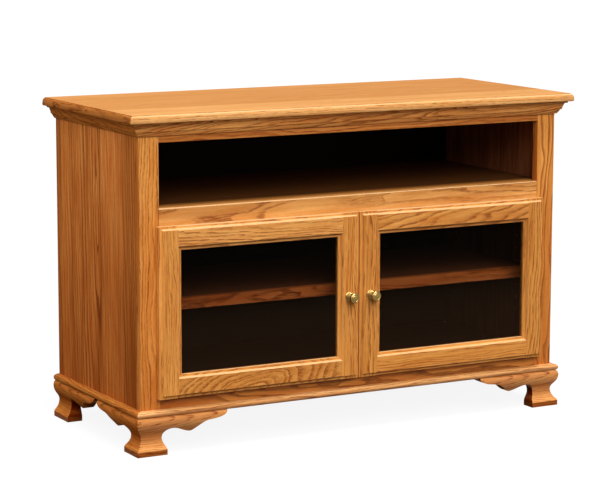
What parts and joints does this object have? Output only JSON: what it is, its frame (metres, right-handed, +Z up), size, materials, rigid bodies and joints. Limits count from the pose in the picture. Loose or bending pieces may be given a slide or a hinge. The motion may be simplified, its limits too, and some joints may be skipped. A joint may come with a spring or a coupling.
{
  "type": "tv console",
  "caption": "Oak media console with a moulded top, an open bay, two glazed doors over an adjustable shelf, and ogee bracket feet.",
  "frame": {"origin": "on the floor under the middle of the whole object's bounding box, knobs included", "axes": "+X along the width to the right seen from the front, +Y to the back, +Z up"},
  "size_m": [1.219, 0.5336, 0.799],
  "materials": {
    "oak": "satin lacquered golden oak",
    "dark_stained_board": "oak-veneered board stained nearly black inside the case",
    "smoked_glass": "smoked float glass",
    "polished_brass": "polished and lacquered",
    "nickel_steel": "nickel plated pressed steel",
    "zinc_steel": "zinc plated",
    "clear_rubber": "soft translucent"
  },
  "bodies": {
    "case": {"top_slab": "oak", "crown_front": "oak", "crown_left": "oak", "crown_right": "oak", "left_frame_stile": "oak", "right_frame_stile": "oak", "top_frame_rail": "oak", "middle_frame_rail": "oak", "bottom_frame_rail": "oak", "left_side_panel": "oak", "right_side_panel": "oak", "back_panel": "dark_stained_board", "media_deck": "dark_stained_board", "cabinet_bottom": "dark_stained_board", "top_cleats": "oak", "shelf_pins": "nickel_steel", "base_moulding_front": "oak", "base_moulding_left": "oak", "base_moulding_right": "oak", "front_left_foot_front": "oak", "front_left_foot_side": "oak", "front_right_foot_front": "oak", "front_right_foot_side": "oak", "rear_left_foot_side": "oak", "rear_right_foot_side": "oak", "rear_left_foot_back": "oak", "rear_right_foot_back": "oak", "foot_corner_blocks": "oak", "top_screws": "zinc_steel", "back_screws": "zinc_steel", "foot_screws": "zinc_steel", "left_hinge_arms": "nickel_steel", "right_hinge_arms": "nickel_steel", "hinge_arm_screws": "zinc_steel"},
    "left_door": {"left_door_hinge_stile": "oak", "left_door_meeting_stile": "oak", "left_door_top_rail": "oak", "left_door_bottom_rail": "oak", "left_door_glass": "smoked_glass", "left_door_glass_stops": "oak", "left_door_knob": "polished_brass", "left_door_knob_screw": "zinc_steel", "left_door_hinge_cups": "nickel_steel", "left_door_hinge_pins": "nickel_steel", "left_door_cup_screws": "zinc_steel", "left_door_bumpers": "clear_rubber"},
    "right_door": {"right_door_hinge_stile": "oak", "right_door_meeting_stile": "oak", "right_door_top_rail": "oak", "right_door_bottom_rail": "oak", "right_door_glass": "smoked_glass", "right_door_glass_stops": "oak", "right_door_knob": "polished_brass", "right_door_knob_screw": "zinc_steel", "right_door_hinge_cups": "nickel_steel", "right_door_hinge_pins": "nickel_steel", "right_door_cup_screws": "zinc_steel", "right_door_bumpers": "clear_rubber"},
    "shelf": {"adjustable_shelf": "dark_stained_board", "shelf_nosing": "oak"}
  },
  "joints": [
    {"name": "left_door_swing", "type": "hinge", "parent": "case", "child": "left_door", "pos_m": [-0.5279, -0.22175, 0.335], "axis": [0, 0, -1], "range_deg": [0, 105]},
    {"name": "right_door_swing", "type": "hinge", "parent": "case", "child": "right_door", "pos_m": [0.5279, -0.22175, 0.335], "axis": [0, 0, 1], "range_deg": [0, 105]},
    {"name": "shelf_lift", "type": "slide", "parent": "case", "child": "shelf", "axis": [0, 0, 1], "range_m": [0, 0.2]}
  ]
}
